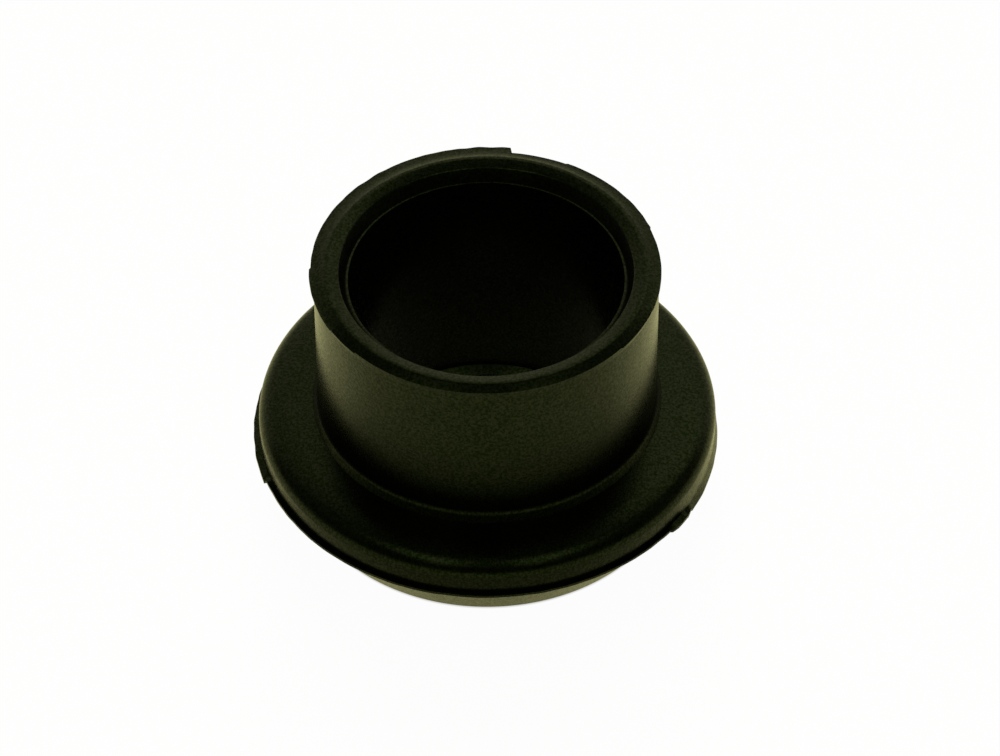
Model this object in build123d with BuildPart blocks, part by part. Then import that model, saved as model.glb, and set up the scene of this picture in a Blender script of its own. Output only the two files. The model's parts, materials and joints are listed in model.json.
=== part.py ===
from build123d import *
import math
import os

# Rubber sleeve seal, one moulded piece, in millimetres.
# The axis is Z, the seal stands on its foot at Z = 0 and the mouth of the neck looks up.
# Angles around the axis are counted from the front (-Y), positive towards the right (+X).

# Bore and neck
bore_diameter = 32.0
neck_wall = 4.0
neck_length = 20.5

# Sealing lip at the foot's end of the bore
lip_width = 1.3
lip_root = 1.2
lip_edge = 0.6

# Mouth of the neck: a lead-in with a small step, then a rim with a rounded ridge
step_width = 0.25
lead_in_width = 0.85
lead_in_height = 1.4
ridge_width = 1.5
ridge_radius = 0.9
inner_slope = 14.0
outer_slope = 24.0

# Flange, from the neck to its outer wall, and the fillet at the foot of the neck
flange_width = 7.1
flange_wall = 2.85
shoulder_radius = 2.0
flange_slope = 6.0
neck_fillet = 2.6

# Tapered foot that the seal stands on, and the ledge of the flange around it
foot_height = 7.0
foot_taper = 24.0
ledge_width = 1.3

# Mould flash on the two parting lines
rim_flash_width = 1.1
rim_flash_thickness = 0.4
flange_flash_width = 0.9
flange_flash_thickness = 0.5
flash_root = 0.6

# Stretches of flash: first and last angle, and the width at each end as a share of the flash width
rim_flash_shares = [
    (-189.0, -140.0, 1.00, 0.82),
    (-140.0, -112.0, 0.80, 0.62),
    (-112.0, -92.0, 0.60, 0.34),
    (-92.0, -62.0, 0.52, 0.26),
    (-62.0, 0.0, 0.26, 0.30),
    (0.0, 70.0, 0.30, 0.20),
    (70.0, 110.0, 0.20, 0.30),
    (110.0, 152.0, 0.44, 0.46),
    (152.0, 171.0, 0.30, 0.14),
]
flange_flash_shares = [
    (-150.0, -100.0, 0.25, 0.84),
    (-100.0, -73.0, 0.84, 0.96),
    (-73.0, 0.0, 0.68, 0.66),
    (0.0, 50.0, 0.66, 0.60),
    (50.0, 57.0, 1.00, 0.95),
    (57.0, 110.0, 0.55, 0.25),
]

# Places worked out from the sizes
bore_radius = bore_diameter / 2
neck_radius = bore_radius + neck_wall
flange_radius = neck_radius + flange_width
foot_top_radius = flange_radius - ledge_width
foot_radius = foot_top_radius - foot_height * math.tan(math.radians(foot_taper))
shoulder_height = foot_height + flange_wall
lip_radius = bore_radius - lip_width
step_radius = bore_radius + step_width
mouth_radius = step_radius + lead_in_width
ridge_place = mouth_radius + ridge_width
inner_fall = ridge_width * math.tan(math.radians(inner_slope))
outer_fall = (neck_radius - ridge_place) * math.tan(math.radians(outer_slope))


def around(radius, angle):
    """Point at this radius, at this angle from the front."""
    turn = math.radians(angle)
    return (radius * math.sin(turn), -radius * math.cos(turn))


def flash_outline(edge_radius, width, stretch):
    """Outline of one stretch of flash, from its root inside the rubber to its free edge."""
    first, last, first_share, last_share = stretch
    middle = (first + last) / 2
    root_radius = edge_radius - flash_root
    start_radius = edge_radius + width * first_share
    end_radius = edge_radius + width * last_share
    middle_radius = (start_radius + end_radius) / 2
    edge = ThreePointArc(
        around(start_radius, first),
        around(middle_radius, middle),
        around(end_radius, last),
    )
    root = ThreePointArc(
        around(root_radius, last),
        around(root_radius, middle),
        around(root_radius, first),
    )
    Line(edge @ 1, root @ 0)
    Line(root @ 1, edge @ 0)


with BuildPart() as rubber_seal:
    with BuildSketch(Plane.XZ) as section:
        with BuildLine():
            # Foot and flange, from the lip outwards and up to the neck
            base = Line((lip_radius, 0), (foot_radius, 0))
            taper = Line(base @ 1, (foot_top_radius, foot_height))
            ledge = Line(taper @ 1, (flange_radius, foot_height))
            wall = Line(ledge @ 1, (flange_radius, shoulder_height))
            shoulder = JernArc(wall @ 1, (0, 1), shoulder_radius, 90 - flange_slope)
            top = PolarLine(
                shoulder @ 1,
                (shoulder @ 1).X - neck_radius,
                180 - flange_slope,
                length_mode=LengthMode.HORIZONTAL,
            )
            # Neck, up to the parting line of its mouth
            parting_height = (top @ 1).Y + neck_length
            neck = Line(top @ 1, (neck_radius, parting_height))
            # Rim, over its ridge to the mouth
            ridge_height = parting_height + outer_fall
            mouth_height = ridge_height - inner_fall
            rim_outside = Line(neck @ 1, (ridge_place, ridge_height))
            rim_inside = Line(rim_outside @ 1, (mouth_radius, mouth_height))
            # Lead-in with its step, then the bore down to the lip
            lead_in = Line(rim_inside @ 1, (step_radius, mouth_height - lead_in_height))
            step = Line(lead_in @ 1, (bore_radius, mouth_height - lead_in_height))
            bore = Line(step @ 1, (bore_radius, lip_root))
            lip = Line(bore @ 1, (lip_radius, lip_edge))
            Line(lip @ 1, base @ 0)
        make_face()
        fillet(section.vertices().sort_by_distance(neck @ 0)[0], neck_fillet)
        fillet(section.vertices().sort_by_distance(rim_inside @ 0)[0], ridge_radius)
    revolve(axis=Axis.Z)
    # Flash around the mouth
    for stretch in rim_flash_shares:
        with BuildSketch(Plane.XY.offset(parting_height - rim_flash_thickness)):
            with BuildLine():
                flash_outline(neck_radius, rim_flash_width, stretch)
            make_face()
        extrude(amount=rim_flash_thickness)
    # Flash around the lower edge of the flange
    for stretch in flange_flash_shares:
        with BuildSketch(Plane.XY.offset(foot_height)):
            with BuildLine():
                flash_outline(flange_radius, flange_flash_width, stretch)
            make_face()
        extrude(amount=flange_flash_thickness)

rubber_seal.part.label = "rubber_seal"

os.makedirs("parts", exist_ok=True)
export_step(rubber_seal.part, "parts/rubber_seal.step")
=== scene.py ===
"""Looks of the moulded rubber seal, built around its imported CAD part."""

import json
import math

import bmesh
import bpy
from bpy.props import FloatProperty, FloatVectorProperty, IntProperty, PointerProperty
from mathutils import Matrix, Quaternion, Vector, noise


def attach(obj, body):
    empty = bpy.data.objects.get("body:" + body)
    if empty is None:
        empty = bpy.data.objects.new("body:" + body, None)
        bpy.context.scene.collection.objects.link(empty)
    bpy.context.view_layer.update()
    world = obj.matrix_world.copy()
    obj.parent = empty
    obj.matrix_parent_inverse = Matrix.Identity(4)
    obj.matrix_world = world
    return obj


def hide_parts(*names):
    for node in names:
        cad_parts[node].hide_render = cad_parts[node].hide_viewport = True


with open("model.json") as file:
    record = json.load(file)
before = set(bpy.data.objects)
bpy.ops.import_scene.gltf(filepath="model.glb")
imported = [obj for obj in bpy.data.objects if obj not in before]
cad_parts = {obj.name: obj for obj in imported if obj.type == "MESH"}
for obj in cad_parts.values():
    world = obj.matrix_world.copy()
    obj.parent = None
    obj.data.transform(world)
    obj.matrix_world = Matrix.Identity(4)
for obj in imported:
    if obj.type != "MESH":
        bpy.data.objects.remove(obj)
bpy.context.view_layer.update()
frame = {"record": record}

bl_info = {
    "name": "Moulded Rubber Seal",
    "version": (1, 0, 0),
    "blender": (4, 5, 0),
    "location": "View3D > Sidebar > Seal",
    "description": "Moulds a flanged rubber seal with torn flash, and sets its stage",
    "category": "Add Mesh",
}

MM = 0.001
NODE = "rubber_seal"
RUB_LAYER = "edge_rub"
FULL_TURN = 360.0
FILM_WIDTH = 36.0
NEAREST = 10 * MM
FLOOR_GAP = 0.02 * MM
WHITE = (1.0, 1.0, 1.0, 1.0)

# The lit disc of floor under the seal has faded out at this many times its radius
SHADE_EDGE = 1.03

# Middle of the overhead strip on the right as a direction, the inverse of its half widths,
# and the distances in half widths between which both strips go from dark to full light
STRIP_PLACE = (0.29, -0.38, 0.0)
STRIP_SCALE = (6.2, 2.4, 1.0)
STRIP_FADE = (1.2, 0.5)

# Directions between which the light changes: from the front to the top of the dark room
# and at the front edge of the panel behind, both along Y, and up that panel, along Z
ROOM_FADE = (-0.7, 0.0)
PANEL_EDGE = (0.36, 0.60)
PANEL_RISE = (0.58, 0.78)

# Noise levels between which the bloom and the skin grow, and the slow waves' height against the grain's
BLOOM_FADE = (0.12, 0.40)
SKIN_FADE = (0.40, 0.62)
WAVE_HEIGHT = 1.5

# Weld distance, and the turns at which an edge is sharp or fully rubbed
WELD = 0.001 * MM
SHARP_TURN = math.radians(32.0)
RUBBED_TURN = math.radians(30.0)

# Faces across a fine rounding, up to this size, and across a wider one
FINE_ROUNDING = 0.2 * MM
FINE_FACES = 4
WIDE_FACES = 16

# Tears and waves of the flash around the axis, the share that is left where it is trimmed away,
# and the part of its thickness, one in this many, that it loses towards its free edge
TEARS = 14.0
WAVES = 5.0
LEAST_SHARE = 0.004
FLASH_THINNING = 3

MOUNT_SIZES = {mount["name"]: mount["dims"] for mount in frame["record"]["mounts"]}

# Stretches of flash: first and last angle from the front, positive to the right, the width
# at each end as a share of the flash's full width, and how far it bends up in millimetres
RIM_FLASH = (
    (-189.0, -140.0, 1.00, 0.82, 0.0),
    (-140.0, -112.0, 0.80, 0.62, 0.0),
    (-112.0, -92.0, 0.60, 0.34, 0.0),
    (-92.0, -62.0, 0.52, 0.26, 0.0),
    (-62.0, -48.0, 0.26, 0.12, 0.20),
    (-48.0, 0.0, 0.12, 0.06, 0.42),
    (0.0, 50.0, 0.06, 0.12, 0.42),
    (50.0, 70.0, 0.12, 0.20, 0.20),
    (70.0, 110.0, 0.20, 0.30, 0.0),
    (110.0, 152.0, 0.44, 0.46, 0.0),
    (152.0, 171.0, 0.30, 0.14, 0.0),
)
FLANGE_FLASH = (
    (-150.0, -100.0, 0.25, 0.84, 0.0),
    (-100.0, -70.5, 0.84, 0.96, -0.10),
    (-70.5, 0.0, 0.68, 0.66, 0.25),
    (0.0, 50.5, 0.66, 0.60, 0.25),
    (50.5, 52.5, 0.74, 1.00, 0.05),
    (52.5, 57.0, 1.00, 0.92, -0.05),
    (57.0, 60.0, 0.92, 0.50, -0.30),
    (60.0, 110.0, 0.50, 0.25, -0.60),
)


def length(name, description, millimetres):
    """A size in metres, given here in millimetres."""
    return FloatProperty(
        name=name, description=description, default=millimetres * MM, min=0.0, unit="LENGTH", precision=5)


def slope(name, description, degrees):
    """An angle, given here in degrees."""
    return FloatProperty(name=name, description=description, default=math.radians(degrees), subtype="ANGLE")


def amount(name, description, value, most=1.0):
    """A plain number from zero up."""
    return FloatProperty(name=name, description=description, default=value, min=0.0, max=most)


def colour(name, description, value):
    """A linear colour."""
    return FloatVectorProperty(
        name=name, description=description, default=value, size=3, min=0.0, max=1.0, subtype="COLOR")


class SealSizes(bpy.types.PropertyGroup):
    """Sizes of the moulded section and its flash"""

    bore_radius: length("Bore radius", "Radius of the through bore", MOUNT_SIZES["bore"]["r_mm"])
    neck_radius: length("Neck radius", "Outside of the neck", MOUNT_SIZES["neck_outside"]["r_mm"])
    neck_length: length("Neck length", "From the flange's top up to the parting line", 20.5)
    lip_width: length("Lip width", "How far the sealing lip stands into the bore", 1.3)
    lip_root: length("Lip root", "Height of the sealing lip at the bore's wall", 1.2)
    lip_edge: length("Lip edge", "Height of the sealing lip at its edge", 0.6)
    step_width: length("Step width", "Small step at the bottom of the lead-in", 0.25)
    lead_in_width: length("Lead-in width", "How far the mouth opens beyond the step", 0.85)
    lead_in_height: length("Lead-in height", "Depth of the mouth's lead-in", 1.4)
    ridge_width: length("Ridge width", "From the mouth's edge to the ridge of the rim", 1.5)
    ridge_radius: length("Ridge radius", "Rounding of the rim's ridge", 0.9)
    inner_slope: slope("Inner slope", "Slope of the rim inside its ridge", 14.0)
    outer_slope: slope("Outer slope", "Slope of the rim outside its ridge", 24.0)
    flange_width: length("Flange width", "From the neck to the flange's outer wall", 7.1)
    flange_wall: length("Flange wall", "Height of the flange's straight outer wall", 2.85)
    shoulder_radius: length("Shoulder radius", "Rounding of the flange's shoulder", 2.0)
    flange_slope: slope("Flange slope", "Rise of the flange's top towards the neck", 4.0)
    crown_width: length("Crown width", "From the flange's wall to where the two slopes of its top meet", 2.7)
    crown_slope: slope("Crown slope", "Slope of the flange's top next to its shoulder", 14.0)
    crown_radius: length("Crown radius", "Rounding between the two slopes of the flange's top", 13.0)
    neck_flare: length("Neck flare", "How far the neck leans out before it meets the flange", 0.65)
    flare_lean: slope("Flare lean", "Lean of the neck's flare", 31.0)
    flare_radius: length("Flare radius", "Rounding where the neck's flare starts", 1.6)
    foot_height: length("Foot height", "Height of the tapered foot", 7.0)
    foot_taper: slope("Foot taper", "Lean of the foot's side", 24.0)
    ledge_width: length("Ledge width", "Flange's overhang around the foot", 1.3)
    moulded_edge: length("Moulded edge", "Rounding that the mould leaves on sharp edges", 0.12)
    rim_flash_width: length("Rim flash width", "Widest flash at the mouth", 1.1)
    rim_flash_thickness: length("Rim flash thickness", "Flash at the mouth, where it leaves the neck", 0.4)
    flange_flash_width: length("Flange flash width", "Widest flash at the flange", 0.9)
    flange_flash_thickness: length("Flange flash thickness", "Flash at the flange, where it leaves the wall", 0.5)
    flash_raggedness: amount("Flash raggedness", "Unevenness of the flash's torn edge", 0.22)
    flash_wave: length("Flash wave", "How far the flash bends up and down", 0.08)
    turns: IntProperty(name="Turns", description="Faces around the axis", default=480, min=32, max=720)


class RubberFinish(bpy.types.PropertyGroup):
    """Colours and surface of the rubber"""

    rubber_dark: colour("Dark rubber", "Deepest tone of the rubber", (0.0002, 0.0003, 0.0001))
    rubber_light: colour("Light rubber", "Palest tone of the bloom on the rubber", (0.0007, 0.0008, 0.0003))
    rub_colour: colour("Rubbed edge", "Tone of edges rubbed in handling", (0.005, 0.005, 0.0025))
    gloss_tint: colour("Gloss tint", "Tint of the rubber's reflection", (0.42, 1.00, 0.02))
    gloss: amount("Gloss", "Strength of the reflection", 0.085)
    skin_high: amount("Skin", "Strongest gloss of the moulded skin on top of the grain", 0.24)
    skin_roughness: amount("Skin roughness", "Roughness of the moulded skin", 0.26)
    roughness_low: amount("Lowest roughness", "Roughness of the smoothest patches", 0.24)
    roughness_high: amount("Highest roughness", "Roughness of the dullest patches", 0.31)
    grain_size: length("Grain size", "Size of the mould's fine grain", 0.30)
    grain_depth: length("Grain depth", "Depth of the mould's fine grain", 0.016)


class SealStage(bpy.types.PropertyGroup):
    """Floor, light and camera"""

    floor_colour: colour("Floor", "Colour of the pale floor", (0.90, 0.90, 0.90))
    floor_glow: colour("Floor glow", "Warm light of the floor that the rubber mirrors", (0.97, 0.93, 0.44))
    floor_size: length("Floor size", "Side of the floor", 6000.0)
    foot_shade_radius: length("Foot shade radius", "Floor within this radius is seen as it is lit", 22.2)
    shadow_share: amount("Shadow share", "Share of the floor's shading that the camera sees", 0.03)
    # Painted shade in the floor's glow that the rubber mirrors: half a ring in front of the flange, drawn and not cast
    painted_front_shade_radius: length(
        "Front shade radius", "From the axis to the middle of the soft shade on the floor in front of the flange", 37.0)
    painted_front_shade_width: length("Front shade width", "Half the width of the soft shade in front", 7.0)
    painted_front_shade_depth: amount("Front shade depth", "Depth of the soft shade in front", 0.60)
    sky_front: amount("Front sky", "Light from the camera's side", 0.07, 4.0)
    sky_top: amount("Top sky", "Light from straight above", 0.14, 4.0)
    sky_strip: amount("Strips", "Light from the two soft strips overhead", 1.60, 4.0)
    sky_low: amount("Low back sky", "Light from low down behind the seal", 0.75, 4.0)
    sky_back: amount("Back sky", "Light from high up behind the seal", 1.05, 4.0)
    sky_lean: amount("Lean", "How much stronger the high back light is on the right", 1.6, 4.0)
    light_tint: colour("Light tint", "Colour of the light", (1.00, 0.97, 0.60))
    fill: FloatProperty(
        name="Fill", description="Soft light from behind that shows no reflection", default=2.2, min=0.0)
    fill_spread: slope("Fill spread", "How wide the fill's lamp looks from the seal", 40.0)
    fill_tilt: slope("Fill tilt", "Tilt of the fill's lamp from straight above, negative towards the back", -50.0)
    elevation: slope("Elevation", "Height of the camera above the floor, seen from the foot", 46.8)
    roll: slope("Roll", "Turn of the camera around its own axis", -0.3)
    distance: length("Distance", "From the camera to the middle of the foot", 600.0)
    focal_length: FloatProperty(
        name="Focal length", description="Lens, for a film 36 mm wide", default=179.7, min=1.0, unit="CAMERA")
    aim: FloatVectorProperty(
        name="Aim", description="Point in the middle of the picture", size=3, unit="LENGTH", precision=5,
        default=(1.53 * MM, 0.0, 15.18 * MM))


def section_places(sizes):
    """Radii and heights of the section that follow from its sizes."""
    flange_radius = sizes.neck_radius + sizes.flange_width
    foot_top = flange_radius - sizes.ledge_width
    step_radius = sizes.bore_radius + sizes.step_width
    mouth_radius = step_radius + sizes.lead_in_width
    ridge_place = mouth_radius + sizes.ridge_width
    # The shoulder's corner stands where the wall and the sloping top would meet
    shoulder = sizes.shoulder_radius * math.tan((math.pi / 2 - sizes.crown_slope) / 2)
    shoulder_height = sizes.foot_height + sizes.flange_wall + shoulder
    crown_height = shoulder_height + sizes.crown_width * math.tan(sizes.crown_slope)
    rise = math.tan(sizes.flange_slope)
    inner_width = sizes.flange_width - sizes.crown_width
    flare_foot = crown_height + (inner_width - sizes.neck_flare) * rise
    parting = crown_height + inner_width * rise + sizes.neck_length
    ridge_height = parting + (sizes.neck_radius - ridge_place) * math.tan(sizes.outer_slope)
    return {
        "flange_radius": flange_radius,
        "foot_top": foot_top,
        "foot_radius": foot_top - sizes.foot_height * math.tan(sizes.foot_taper),
        "lip_radius": sizes.bore_radius - sizes.lip_width,
        "step_radius": step_radius,
        "mouth_radius": mouth_radius,
        "ridge_place": ridge_place,
        "ridge": sizes.ridge_radius * math.tan((sizes.inner_slope + sizes.outer_slope) / 2),
        "shoulder": shoulder,
        "shoulder_height": shoulder_height,
        "crown_place": flange_radius - sizes.crown_width,
        "crown_height": crown_height,
        "crown": sizes.crown_radius * math.tan((sizes.crown_slope - sizes.flange_slope) / 2),
        "flare_foot": flare_foot,
        "flare_height": flare_foot + sizes.neck_flare / math.tan(sizes.flare_lean),
        "flare": sizes.flare_radius * math.tan(sizes.flare_lean / 2),
        "ridge_height": ridge_height,
        "mouth_height": ridge_height - sizes.ridge_width * math.tan(sizes.inner_slope),
        "rim_flash": (parting - sizes.rim_flash_thickness, parting),
        "flange_flash": (sizes.foot_height, sizes.foot_height + sizes.flange_flash_thickness),
    }


def section_corners(sizes, places):
    """Corners of the section, from the foot outwards and back down the bore: radius, height, rounding.

    A ring next to each flash keeps the flash's shading off the smooth walls.
    """
    edge = sizes.moulded_edge
    rim_root, parting = places["rim_flash"]
    flange_low, flange_root = places["flange_flash"]
    rim_edge = sizes.neck_radius + sizes.rim_flash_width
    flange_edge = places["flange_radius"] + sizes.flange_flash_width
    step_height = places["mouth_height"] - sizes.lead_in_height
    return (
        # Foot
        (places["lip_radius"], 0.0, edge),
        (places["foot_radius"], 0.0, 3 * edge),
        (places["foot_top"], sizes.foot_height, 0.0),
        # Flange, from its flash up over the shoulder
        (flange_edge, flange_low, 0.0),
        (flange_edge, flange_root - sizes.flange_flash_thickness / FLASH_THINNING, 0.0),
        (places["flange_radius"], flange_root, 0.0),
        (places["flange_radius"], flange_root + edge, 0.0),
        (places["flange_radius"], places["shoulder_height"], places["shoulder"]),
        (places["crown_place"], places["crown_height"], places["crown"]),
        # Neck, from its flare up to its flash
        (sizes.neck_radius + sizes.neck_flare, places["flare_foot"], 0.0),
        (sizes.neck_radius, places["flare_height"], places["flare"]),
        (sizes.neck_radius, rim_root - edge, 0.0),
        (sizes.neck_radius, rim_root, 0.0),
        # Rim, from its flash over the ridge to the mouth
        (rim_edge, parting - sizes.rim_flash_thickness / FLASH_THINNING, 0.0),
        (rim_edge, parting, 0.0),
        (sizes.neck_radius, parting, 0.0),
        (places["ridge_place"], places["ridge_height"], places["ridge"]),
        (places["mouth_radius"], places["mouth_height"], edge),
        # Lead-in with its step, then the bore down to the lip
        (places["step_radius"], step_height, 0.0),
        (sizes.bore_radius, step_height, edge / 2),
        (sizes.bore_radius, sizes.lip_root, 0.0),
        (places["lip_radius"], sizes.lip_edge, edge),
    )


def spin_section(corners, turns):
    """The closed body that the rounded section leaves when it is spun around the axis."""
    body = bmesh.new()
    points = [body.verts.new((radius, 0.0, height)) for radius, height, rounding in corners]
    for start, end in zip(points, points[1:] + points[:1]):
        body.edges.new((start, end))
    for point, (radius, height, rounding) in zip(points, corners):
        if rounding > 0.0:
            bmesh.ops.bevel(
                body, geom=[point], offset=rounding, offset_type="OFFSET", affect="VERTICES",
                segments=WIDE_FACES if rounding > FINE_ROUNDING else FINE_FACES, profile=0.5, material=-1)
    bmesh.ops.spin(
        body, geom=body.verts[:] + body.edges[:], cent=(0, 0, 0), axis=(0, 0, 1),
        angle=2 * math.pi, steps=turns, use_merge=True)
    bmesh.ops.remove_doubles(body, verts=body.verts[:], dist=WELD)
    bmesh.ops.recalc_face_normals(body, faces=body.faces[:])
    return body


def flash_form(stretches, angle):
    """Width of the flash at this angle, as a share of its full width, and how far it bends up."""
    for first, last, first_share, last_share, bend in stretches:
        along = ((angle - first) % FULL_TURN) / (last - first)
        if along < 1.0:
            return first_share + (last_share - first_share) * along, bend * MM
    return 0.0, 0.0


def tear_flash(body, root_radius, heights, stretches, sizes):
    """Draw a full ring of flash back to its torn edge, and bend it up or down."""
    lowest, highest = heights
    for vert in body.verts:
        reach = vert.co.xy.length - root_radius
        if reach < WELD or not lowest - WELD < vert.co.z < highest + WELD:
            continue
        around = vert.co.xy.normalized()
        angle = math.degrees(math.atan2(around.x, -around.y))
        spot = Vector((around.x, around.y, lowest / MM))
        torn = 0.5 + 0.5 * noise.noise(spot * TEARS)
        share, bend = flash_form(stretches, angle)
        share *= 1.0 - sizes.flash_raggedness * torn
        vert.co.xy = around * (root_radius + reach * max(share, LEAST_SHARE))
        vert.co.z += bend + sizes.flash_wave * noise.noise(spot * WAVES) * share


def mark_rubbed_edges(body):
    """Write to each vertex how sharply the surface turns outwards there."""
    layer = body.verts.layers.float.new(RUB_LAYER)
    for vert in body.verts:
        turns = [edge.calc_face_angle_signed(0.0) for edge in vert.link_edges]
        vert[layer] = min(max(max(turns), 0.0) / RUBBED_TURN, 1.0)


def socket(sockets, name):
    """A node's socket by its identifier, or else by its name."""
    return next((each for each in sockets if each.identifier == name), None) or sockets[name]


def add_node(tree, kind, inputs=None, **settings):
    """A new node with its settings and inputs; an input that is a socket is linked."""
    node = tree.nodes.new(kind)
    for name, value in settings.items():
        setattr(node, name, value)
    for name, value in (inputs or {}).items():
        if isinstance(value, bpy.types.NodeSocket):
            tree.links.new(value, socket(node.inputs, name))
        else:
            socket(node.inputs, name).default_value = value
    return node


def smooth_step(tree, value, low, high, start, end):
    """A value that goes smoothly from start to end while the given one goes from low to high."""
    return add_node(tree, "ShaderNodeMapRange", {
        "Value": value, "From Min": low, "From Max": high, "To Min": start, "To Max": end},
        interpolation_type="SMOOTHSTEP").outputs["Result"]


def multiply_add(tree, first, second, third):
    """First times second plus third."""
    return add_node(tree, "ShaderNodeMath", {0: first, 1: second, 2: third}, operation="MULTIPLY_ADD").outputs[0]


def new_group(name, inputs, outputs):
    """An empty shader group with float sockets, and its input and output nodes."""
    group = bpy.data.node_groups.new(name, "ShaderNodeTree")
    for title, default in inputs:
        group.interface.new_socket(title, in_out="INPUT", socket_type="NodeSocketFloat").default_value = default
    for title in outputs:
        group.interface.new_socket(title, in_out="OUTPUT", socket_type="NodeSocketFloat")
    return group, group.nodes.new("NodeGroupInput"), group.nodes.new("NodeGroupOutput")


def mould_grain_group():
    """Fine grain of the mould's wall, alone and as a height over slow waves of the rubber."""
    group, given, result = new_group(
        "mould_grain", [("Grain Scale", 3000.0), ("Wave Scale", 120.0)], ["Grain", "Height"])
    place = add_node(group, "ShaderNodeTexCoord").outputs["Object"]
    fine = add_node(group, "ShaderNodeTexNoise", {
        "Vector": place, "Scale": given.outputs["Grain Scale"], "Detail": 3.0, "Roughness": 0.6})
    wave = add_node(group, "ShaderNodeTexNoise", {
        "Vector": place, "Scale": given.outputs["Wave Scale"], "Detail": 1.0})
    height = multiply_add(group, wave.outputs["Fac"], WAVE_HEIGHT, fine.outputs["Fac"])
    group.links.new(fine.outputs["Fac"], result.inputs["Grain"])
    group.links.new(height, result.inputs["Height"])
    return group


def rubber_bloom_group():
    """Cloudy bloom on the rubber, with fine specks, as a mask from 0 to 1."""
    group, given, result = new_group("rubber_bloom", [("Cloud Scale", 160.0), ("Speck Scale", 2200.0)], ["Bloom"])
    place = add_node(group, "ShaderNodeTexCoord").outputs["Object"]
    cloud = add_node(group, "ShaderNodeTexNoise", {
        "Vector": place, "Scale": given.outputs["Cloud Scale"], "Detail": 5.0, "Roughness": 0.65})
    speck = add_node(group, "ShaderNodeTexNoise", {
        "Vector": place, "Scale": given.outputs["Speck Scale"], "Detail": 2.0})
    both = add_node(group, "ShaderNodeMath", {
        0: cloud.outputs["Fac"], 1: speck.outputs["Fac"]}, operation="MULTIPLY")
    spread = smooth_step(group, both.outputs[0], *BLOOM_FADE, 0.0, 1.0)
    group.links.new(spread, result.inputs["Bloom"])
    return group


def black_rubber(finish):
    """Olive-black moulded rubber: fine grain, cloudy bloom and edges rubbed in handling."""
    material = bpy.data.materials.new("black_moulded_rubber")
    material.use_nodes = True
    tree = material.node_tree
    bloom = add_node(tree, "ShaderNodeGroup", node_tree=rubber_bloom_group()).outputs["Bloom"]
    grain = add_node(tree, "ShaderNodeGroup", {"Grain Scale": 1.0 / finish.grain_size}, node_tree=mould_grain_group())

    tone = add_node(tree, "ShaderNodeMix", {
        "Factor_Float": bloom, "A_Color": (*finish.rubber_dark, 1.0), "B_Color": (*finish.rubber_light, 1.0)},
        data_type="RGBA")
    rub = add_node(tree, "ShaderNodeAttribute", attribute_name=RUB_LAYER)
    rubbed = add_node(tree, "ShaderNodeMath", {0: rub.outputs["Fac"], 1: bloom}, operation="MULTIPLY")
    worn = add_node(tree, "ShaderNodeMix", {
        "Factor_Float": rubbed.outputs[0], "A_Color": socket(tone.outputs, "Result_Color"),
        "B_Color": (*finish.rub_colour, 1.0)}, data_type="RGBA")
    dull = add_node(tree, "ShaderNodeMapRange", {
        "Value": bloom, "To Min": finish.roughness_low, "To Max": finish.roughness_high})
    skin = add_node(tree, "ShaderNodeMapRange", {
        "Value": grain.outputs["Grain"], "From Min": SKIN_FADE[0], "From Max": SKIN_FADE[1],
        "To Max": finish.skin_high})
    bump = add_node(tree, "ShaderNodeBump", {
        "Height": grain.outputs["Height"], "Distance": finish.grain_depth, "Strength": 1.0})

    shader = tree.nodes["Principled BSDF"]
    tree.links.new(socket(worn.outputs, "Result_Color"), shader.inputs["Base Color"])
    tree.links.new(dull.outputs["Result"], shader.inputs["Roughness"])
    tree.links.new(skin.outputs["Result"], shader.inputs["Coat Weight"])
    tree.links.new(bump.outputs["Normal"], shader.inputs["Normal"])
    shader.inputs["Coat Roughness"].default_value = finish.skin_roughness
    shader.inputs["Specular IOR Level"].default_value = finish.gloss
    shader.inputs["Specular Tint"].default_value = (*finish.gloss_tint, 1.0)
    return material


def pale_floor(stage):
    """Pale floor that shows the rubber a warm glow with a painted shade in front of the flange, and the camera a white
    ground with a faint shadow.
    """
    material = bpy.data.materials.new("pale_floor")
    material.use_nodes = True
    tree = material.node_tree
    tree.nodes.clear()
    position = add_node(tree, "ShaderNodeNewGeometry").outputs["Position"]
    radius = add_node(tree, "ShaderNodeVectorMath", {0: position}, operation="LENGTH").outputs["Value"]

    # Painted shade: the flange's soft shade is drawn into the floor's glow as half a ring in front, not cast
    offset = add_node(tree, "ShaderNodeMath", {0: radius, 1: stage.painted_front_shade_radius}, operation="SUBTRACT")
    distance = add_node(tree, "ShaderNodeMath", {0: offset.outputs[0]}, operation="ABSOLUTE").outputs[0]
    back_and_forth = add_node(tree, "ShaderNodeSeparateXYZ", {0: position}).outputs["Y"]
    deepest = smooth_step(
        tree, back_and_forth, 0.0, -stage.painted_front_shade_radius / 2, 1.0, 1.0 - stage.painted_front_shade_depth)
    painted_shade = smooth_step(tree, distance, 0.0, stage.painted_front_shade_width, deepest, 1.0)

    lit = add_node(tree, "ShaderNodeBsdfDiffuse", {"Color": (*stage.floor_colour, 1.0)})
    glow = add_node(tree, "ShaderNodeEmission", {"Color": (*stage.floor_glow, 1.0), "Strength": painted_shade})
    white = add_node(tree, "ShaderNodeEmission", {"Color": WHITE, "Strength": 1.0})

    # Under the seal and inside its bore the floor is seen as it is lit
    outside = add_node(tree, "ShaderNodeMapRange", {
        "Value": radius, "From Min": stage.foot_shade_radius, "From Max": stage.foot_shade_radius * SHADE_EDGE,
        "To Max": 1.0 - stage.shadow_share}).outputs["Result"]
    path = add_node(tree, "ShaderNodeLightPath")
    ground = lit
    for ray, shown in (("Is Glossy Ray", glow), ("Is Camera Ray", white)):
        share = add_node(tree, "ShaderNodeMath", {0: path.outputs[ray], 1: outside}, operation="MULTIPLY")
        ground = add_node(tree, "ShaderNodeMixShader", {
            0: share.outputs[0], 1: ground.outputs[0], 2: shown.outputs[0]})
    add_node(tree, "ShaderNodeOutputMaterial", {"Surface": ground.outputs[0]})
    return material


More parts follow.
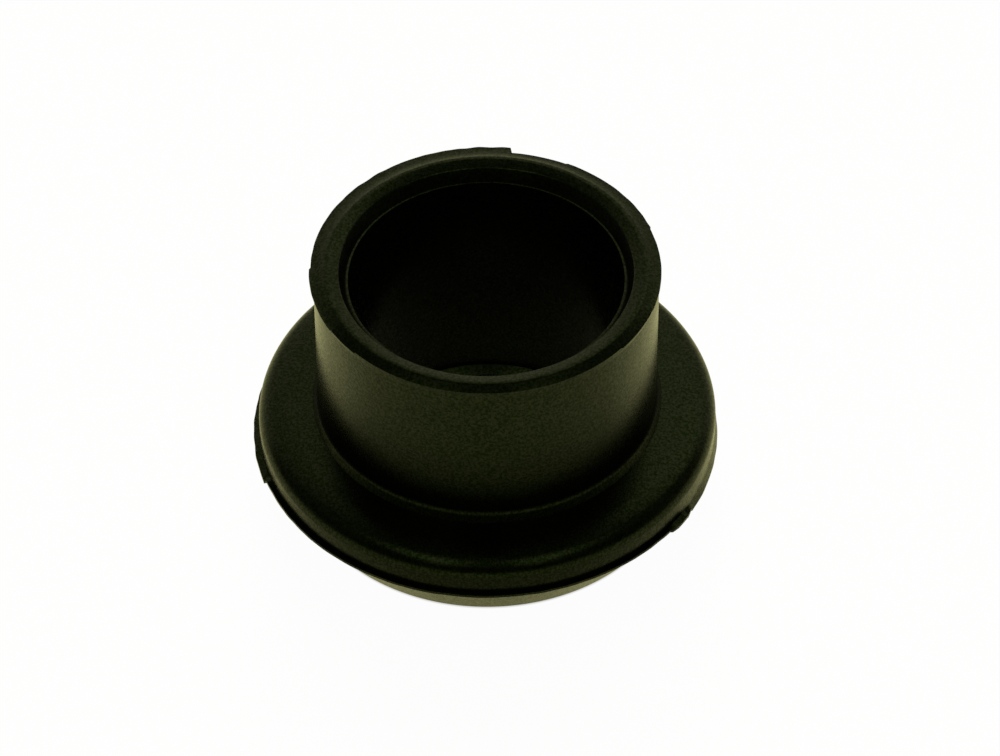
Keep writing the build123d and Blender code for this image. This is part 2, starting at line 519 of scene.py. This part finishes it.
def studio_sky(stage):
    """Soft light that is strong behind the seal, with two strips overhead, and weak in front."""
    world = bpy.data.worlds.new("studio_sky")
    world.use_nodes = True
    tree = world.node_tree
    tree.nodes.clear()
    towards = add_node(tree, "ShaderNodeTexCoord").outputs["Generated"]
    parts = add_node(tree, "ShaderNodeSeparateXYZ", {0: towards})

    # Dark room above and in front, with a soft strip overhead on each side
    room = smooth_step(tree, parts.outputs["Y"], *ROOM_FADE, stage.sky_front, stage.sky_top)
    aside = add_node(tree, "ShaderNodeMath", {0: parts.outputs["X"]}, operation="ABSOLUTE")
    across = add_node(tree, "ShaderNodeCombineXYZ", {0: aside.outputs[0], 1: parts.outputs["Y"]})
    centred = add_node(tree, "ShaderNodeVectorMath", {
        0: across.outputs[0], 1: STRIP_PLACE}, operation="SUBTRACT")
    scaled = add_node(tree, "ShaderNodeVectorMath", {
        0: centred.outputs[0], 1: STRIP_SCALE}, operation="MULTIPLY")
    away = add_node(tree, "ShaderNodeVectorMath", {0: scaled.outputs[0]}, operation="LENGTH")
    strips = smooth_step(tree, away.outputs["Value"], *STRIP_FADE, 0.0, stage.sky_strip)
    above = multiply_add(tree, strips, 1.0, room)

    # Bright panel behind, stronger high up and on the right
    high = smooth_step(tree, parts.outputs["Z"], *PANEL_RISE, 0.0, 1.0)
    lean = multiply_add(tree, parts.outputs["X"], stage.sky_lean, 1.0)
    step_up = multiply_add(tree, lean, stage.sky_back, -stage.sky_low)
    panel = multiply_add(tree, high, step_up, stage.sky_low)
    level = smooth_step(tree, parts.outputs["Y"], *PANEL_EDGE, above, panel)

    light = add_node(tree, "ShaderNodeBackground", {"Color": (*stage.light_tint, 1.0), "Strength": level})
    white = add_node(tree, "ShaderNodeBackground", {"Color": WHITE, "Strength": 1.0})
    path = add_node(tree, "ShaderNodeLightPath")
    seen = add_node(tree, "ShaderNodeMixShader", {
        0: path.outputs["Is Camera Ray"], 1: light.outputs[0], 2: white.outputs[0]})
    add_node(tree, "ShaderNodeOutputWorld", {"Surface": seen.outputs[0]})
    return world


def soft_fill(stage):
    """Wide soft lamp from behind that lights colours at a plain level and shows no reflection."""
    lamp = bpy.data.lights.new("soft_fill", "SUN")
    lamp.energy = stage.fill
    lamp.angle = stage.fill_spread
    fill = bpy.data.objects.new("soft_fill", lamp)
    fill.rotation_euler = (stage.fill_tilt, 0.0, 0.0)
    fill.visible_glossy = False
    return fill


def floor_plane(stage):
    """Wide floor just under the seal."""
    ground = bmesh.new()
    bmesh.ops.create_grid(ground, x_segments=1, y_segments=1, size=stage.floor_size / 2)
    bmesh.ops.translate(ground, verts=ground.verts[:], vec=(0.0, 0.0, -FLOOR_GAP))
    mesh = bpy.data.meshes.new("floor")
    ground.to_mesh(mesh)
    ground.free()
    mesh.materials.append(pale_floor(stage))
    return bpy.data.objects.new("floor", mesh)


def stage_camera(stage):
    """Camera in front of the seal that looks down at it."""
    lens = bpy.data.cameras.new("camera")
    lens.sensor_width = FILM_WIDTH
    lens.lens = stage.focal_length
    lens.clip_start = NEAREST
    camera = bpy.data.objects.new("camera", lens)
    camera.location = stage.distance * Vector((0.0, -math.cos(stage.elevation), math.sin(stage.elevation)))
    facing = (Vector(stage.aim) - camera.location).to_track_quat("-Z", "Y")
    camera.rotation_euler = (facing @ Quaternion((0.0, 0.0, 1.0), stage.roll)).to_euler()
    return camera


class SEAL_OT_mould_seal(bpy.types.Operator):
    """Mould the rubber seal from its section, with its torn flash"""

    bl_idname = "seal.mould_seal"
    bl_label = "Mould the seal"

    def execute(self, context):
        sizes = context.scene.seal_sizes
        places = section_places(sizes)
        body = spin_section(section_corners(sizes, places), sizes.turns)
        tear_flash(body, sizes.neck_radius, places["rim_flash"], RIM_FLASH, sizes)
        tear_flash(body, places["flange_radius"], places["flange_flash"], FLANGE_FLASH, sizes)
        mark_rubbed_edges(body)
        mesh = bpy.data.meshes.new("seal_moulding")
        body.to_mesh(mesh)
        body.free()
        mesh.shade_smooth()
        mesh.set_sharp_from_angle(angle=SHARP_TURN)
        mesh.materials.append(black_rubber(context.scene.seal_finish))
        seal = bpy.data.objects.new("seal_moulding", mesh)
        context.scene.collection.objects.link(seal)
        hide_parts(NODE)
        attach(seal, "root")
        return {"FINISHED"}


class SEAL_OT_set_stage(bpy.types.Operator):
    """Set the floor, the soft light and the camera"""

    bl_idname = "seal.set_stage"
    bl_label = "Set the stage"

    def execute(self, context):
        scene, stage = context.scene, context.scene.seal_stage
        floor = floor_plane(stage)
        scene.collection.objects.link(floor)
        scene.world = studio_sky(stage)
        scene.collection.objects.link(soft_fill(stage))
        scene.camera = stage_camera(stage)
        scene.collection.objects.link(scene.camera)
        scene.view_settings.view_transform = "Standard"
        return {"FINISHED"}


class VIEW3D_PT_rubber_seal(bpy.types.Panel):
    """Sizes, finish and stage of the seal"""

    bl_label = "Moulded rubber seal"
    bl_space_type = "VIEW_3D"
    bl_region_type = "UI"
    bl_category = "Seal"

    def draw(self, context):
        scene = context.scene
        for title, settings, operator in (
            ("Sizes", scene.seal_sizes, None),
            ("Finish", scene.seal_finish, SEAL_OT_mould_seal.bl_idname),
            ("Stage", scene.seal_stage, SEAL_OT_set_stage.bl_idname),
        ):
            box = self.layout.box()
            box.label(text=title)
            for name in type(settings).__annotations__:
                box.prop(settings, name)
            if operator:
                box.operator(operator)


CLASSES = (SealSizes, RubberFinish, SealStage, SEAL_OT_mould_seal, SEAL_OT_set_stage, VIEW3D_PT_rubber_seal)


def register():
    for each in CLASSES:
        bpy.utils.register_class(each)
    bpy.types.Scene.seal_sizes = PointerProperty(type=SealSizes)
    bpy.types.Scene.seal_finish = PointerProperty(type=RubberFinish)
    bpy.types.Scene.seal_stage = PointerProperty(type=SealStage)


def unregister():
    del bpy.types.Scene.seal_stage
    del bpy.types.Scene.seal_finish
    del bpy.types.Scene.seal_sizes
    for each in reversed(CLASSES):
        bpy.utils.unregister_class(each)


def main():
    register()
    bpy.ops.seal.mould_seal()
    bpy.ops.seal.set_stage()


if __name__ == "__main__":
    main()
